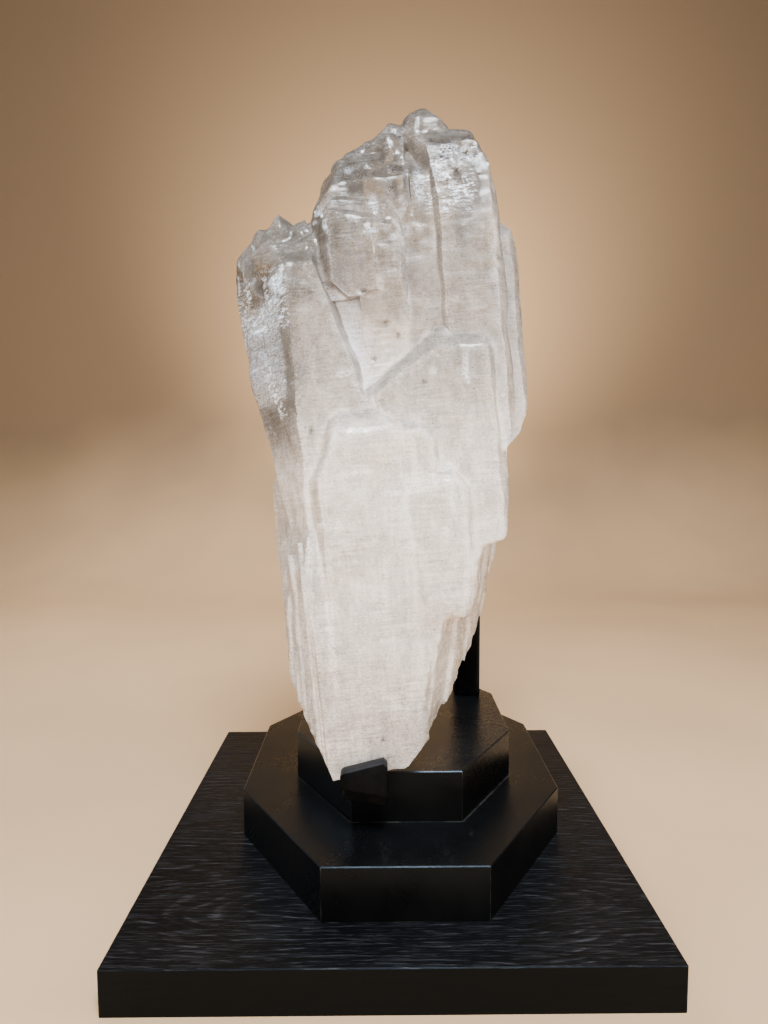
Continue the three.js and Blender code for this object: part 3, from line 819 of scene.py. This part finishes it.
oak = Finish("black_stained_oak")
oak_x, oak_y, oak_z = oak.parts(oak.place)
on_top = oak_z.rise(PLINTH_TOP - TOP_STARTS, PLINTH_TOP - TOP_FULL)
sway = oak.mist(oak.stretched(oak.place, (1.2, 3.0, 1)), 3.6, 2, 0.45)
from_heart = (((oak_y - HEART_AT[1]) * HEART_STRETCH[1]) ** 2
              + ((oak_x - HEART_AT[0]) * HEART_STRETCH[0]) ** 2)
heart = oak.node("Math", {"operation": "SQRT"}, from_heart)
rings = oak.node("Math", {"operation": "FRACT"}, (heart + sway * 0.20) * RINGS_A_METRE)
arches = rings.rise(0.0, 0.7) * (1 - rings.rise(0.80, 1.0))
pores = oak.mist(oak.stretched(oak.place, (0.06, 1, 1)), 480, 2, 0.7).rise(0.50, 0.60)
flecks = oak.mist(oak.stretched(oak.place, (0.10, 1, 1)), 130, 2, 0.6).rise(0.45, 0.7)
lines = rings.rise(0.56, 0.74) * (1 - rings.rise(0.84, 0.98)) * (0.10 + pores * 0.90)
lines = lines * flecks.rise(0.0, 0.8, 0.35, 1.0)
streaks = (pores * (0.13 + arches * 0.10) + lines * 0.54) * on_top

# %% Oak stain, sheen and grooves
STAIN_DEEP = (0.004, 0.004, 0.004, 1)
STAIN_TOP_SHEEN = (0.0105, 0.011, 0.0125, 1)
STREAK_GREY = (0.085, 0.086, 0.096, 1)
WORN_EDGE = (0.16, 0.15, 0.14, 1)
DUST_GREY = (0.12, 0.11, 0.10, 1)

wear = edge_wear(oak, PLINTH, PLINTH_TOP, 0.0009)
dust = oak.mist(oak.place, 900, 1, 0.5).rise(0.70, 0.78)
dust = dust * oak.mist(oak.place, 7, 1, 0.6).rise(0.5, 0.7)
# Painted sheen: the top is painted paler and bluer than the edges, as the light from above would make
# it.
painted_top_sheen = oak.mist(oak.place, 5, 2, 0.5).rise(0.3, 0.7, 0.4, 1.0) * on_top
stain_and_top_sheen = oak.blend(painted_top_sheen, STAIN_DEEP, STAIN_TOP_SHEEN)
stain_and_top_sheen = oak.blend(streaks.held(), stain_and_top_sheen, STREAK_GREY)
stain_and_top_sheen = oak.blend(wear * 0.4 * (0.3 + flecks), stain_and_top_sheen, WORN_EDGE)
stain_and_top_sheen = oak.blend(dust * 0.5 * on_top, stain_and_top_sheen, DUST_GREY)
sheen = 0.40 + flecks * 0.10 - arches * on_top * 0.06 + pores * 0.08
grain_height = 0.0 - pores * on_top + arches * on_top * 0.10 + flecks * 0.2
grooves = oak.bump(grain_height, 0.00030, 0.6)
oak_face = oak.surface({"Base Color": stain_and_top_sheen, "Roughness": sheen, "Normal": grooves,
                        "Specular IOR Level": 0.25, "Specular Tint": BLUE_GLOSS})
dress(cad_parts["plinth_board"], oak.wear(oak_face))
print("oak nodes", len(oak.tree.nodes))

# %% [markdown]
# ## Black lacquer
# The two tiers are lacquered satin black. The lacquer shows faint brush marks, dull smudges and
# scuffs on top, a thin worn line on every edge, and a caulk line where the upper tier stands. Each
# top is painted a little paler and bluer, the upper more, as a painted sheen from the light above.
# Both tiers get the same finish from one function, each with its own outline.

# %% Lacquer finish
LACQUER_DEEP = (0.0045, 0.0045, 0.0046, 1)
LACQUER_DULL = (0.0105, 0.0104, 0.0102, 1)
SCUFF_GREY = (0.10, 0.099, 0.097, 1)
RUBBED_EDGE = (0.17, 0.165, 0.155, 1)
CAULK_GREY = (0.075, 0.072, 0.068, 1)
CAULK_AWAY = 0.0014
# Painted sheen: each top is painted paler and bluer, the upper tier more, as the light from above
# would make it.
LOWER_TOP_SHEEN = (0.0105, 0.0115, 0.0130, 1)
UPPER_TOP_SHEEN = (0.019, 0.022, 0.026, 1)


def lacquer(name, outline, top, painted_top_sheen, next_outline=None):
    """Satin black lacquer for one tier. A tier that carries another gets a caulk line round it."""
    finish = Finish(name)
    z = finish.parts(finish.place)[2]
    on_top = z.rise(top - TOP_STARTS, top - TOP_FULL)
    smudge = finish.mist(finish.place, 9, 3, 0.62).rise(0.38, 0.68)
    fine = finish.mist(finish.place, 130, 2, 0.65).rise(0.35, 0.7)
    brush = finish.mist(finish.stretched(finish.place, (0.05, 1, 1)), 260, 1, 0.5)
    scuff = finish.mist(finish.stretched(finish.place, (1, 0.35, 1)), 36, 3, 0.75)
    scuff = scuff.rise(0.62, 0.70) * smudge * on_top
    specks = finish.mist(finish.place, 700, 1, 0.5).rise(0.70, 0.76) * on_top
    wear = edge_wear(finish, outline, top, 0.0008)
    colour = finish.blend(smudge * 0.6, LACQUER_DEEP, LACQUER_DULL)
    # Painted sheen on the top.
    colour = finish.blend((smudge * 0.5 + 0.5) * on_top, colour, painted_top_sheen)
    colour = finish.blend((scuff * 0.16 + specks * 0.5).held(), colour, SCUFF_GREY)
    colour = finish.blend(wear * 0.4, colour, RUBBED_EDGE)
    rough = 0.26 + smudge * 0.10 + fine * 0.03 + scuff * 0.08
    height = fine * 0.10 + brush * 0.12 + scuff * 0.15
    if next_outline:
        gap, *others = distances(finish, next_outline)
        for distance in others:
            gap = gap.most(distance)
        caulk = (1 - abs(gap - CAULK_AWAY).rise(0.0006, 0.0022)) * on_top
        caulk = caulk * finish.mist(finish.place, 40, 2, 0.7).rise(0.35, 0.6, 0.25, 1.0)
        colour = finish.blend(caulk * 0.6, colour, CAULK_GREY)
        height = height + caulk * 2.5
        rough = rough + caulk * 0.2
    relief = finish.bump(height, 0.0003, 0.25)
    print(name, len(finish.tree.nodes), "nodes")
    return finish.wear(finish.surface({"Base Color": colour, "Roughness": rough, "Normal": relief,
                                       "Specular IOR Level": 0.30, "Specular Tint": BLUE_GLOSS}))


dress(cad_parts["lower_tier"],
      lacquer("black_lacquer_lower", LOWER, LOWER_TOP, LOWER_TOP_SHEEN, UPPER))
dress(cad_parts["upper_tier"],
      lacquer("black_lacquer_upper", UPPER, UPPER_TOP, UPPER_TOP_SHEEN))

# %% [markdown]
# ## The steel post and the toe clip
# Both are bar steel with slightly rounded corners, so each gets its own welded copy with bevelled
# edges, which catch a line of light. A stored number says which way each face looks, for the
# painted sheen on the top of the clip.

# %% Steel pieces
CORNER = 0.0012
FLAT_WITHIN = 2
SHARP_ABOVE = 30
SMOOTH_BELOW = 35


def bevelled(node, name):
    """A copy of a steel solid with its sharp edges rounded."""
    piece = welded_copy(node, name)
    bpy.ops.object.mode_set(mode="EDIT")
    bpy.ops.mesh.select_mode(type="EDGE")
    bpy.ops.mesh.select_all(action="SELECT")
    bpy.ops.mesh.dissolve_limited(angle_limit=math.radians(FLAT_WITHIN))
    bpy.ops.mesh.select_all(action="DESELECT")
    bpy.ops.mesh.edges_select_sharp(sharpness=math.radians(SHARP_ABOVE))
    bpy.ops.mesh.bevel(offset=CORNER, segments=3, profile=0.5, affect="EDGES")
    bpy.ops.object.mode_set(mode="OBJECT")
    bpy.ops.object.shade_smooth_by_angle(angle=math.radians(SMOOTH_BELOW))
    up = piece.data.attributes.new("looks_up", "FLOAT", "POINT")
    up.data.foreach_set("value", column(piece, "normal")[:, 2].astype(np.float32))
    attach(piece, "root")
    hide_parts(node)
    print(name, len(piece.data.polygons), "faces")
    return piece


post = bevelled("rear_post", "steel_post")
clip = bevelled("toe_clip", "steel_clip")

# %% [markdown]
# ## Black steel
# The steel is painted nearly black, with a blotchy, finely pitted coat that is rubbed grey in places.
# Where it looks up it is painted paler and bluer, a painted sheen from the light above. It is dull,
# so only its rounded corners shine.

# %% Steel finish
PAINT_DEEP = (0.003, 0.003, 0.0032, 1)
PAINT_DULL = (0.008, 0.008, 0.0084, 1)
TOP_SHEEN_BLUE = (0.055, 0.058, 0.066, 1)
RUBBED_STEEL = (0.10, 0.10, 0.105, 1)
STEEL_GLOSS = (0.80, 0.90, 1.0, 1)

steel = Finish("black_steel")
looks_up = steel.attribute("looks_up").rise(0.3, 0.8)
blotch = steel.mist(steel.place, 28, 5, 0.65).rise(0.36, 0.66)
pitting = steel.mist(steel.place, 420, 3, 0.6)
rubbed = steel.mist(steel.stretched(steel.place, (1, 1, 0.2)), 90, 4, 0.7).rise(0.58, 0.72)
black = steel.blend(blotch, PAINT_DEEP, PAINT_DULL)
# Painted sheen on the faces that look up.
black = steel.blend(looks_up * (0.35 + blotch * 0.4), black, TOP_SHEEN_BLUE)
black = steel.blend(rubbed * 0.18, black, RUBBED_STEEL)
steel_face = steel.surface({"Base Color": black, "Roughness": 0.42 + blotch * 0.12,
                            "Specular IOR Level": 0.15, "Specular Tint": STEEL_GLOSS,
                            "Normal": steel.bump(pitting + rubbed * 0.4, 0.0003, 0.6)})
steel_black = steel.wear(steel_face)
dress(post, steel_black)
dress(clip, steel_black)
print("steel nodes", len(steel.tree.nodes))
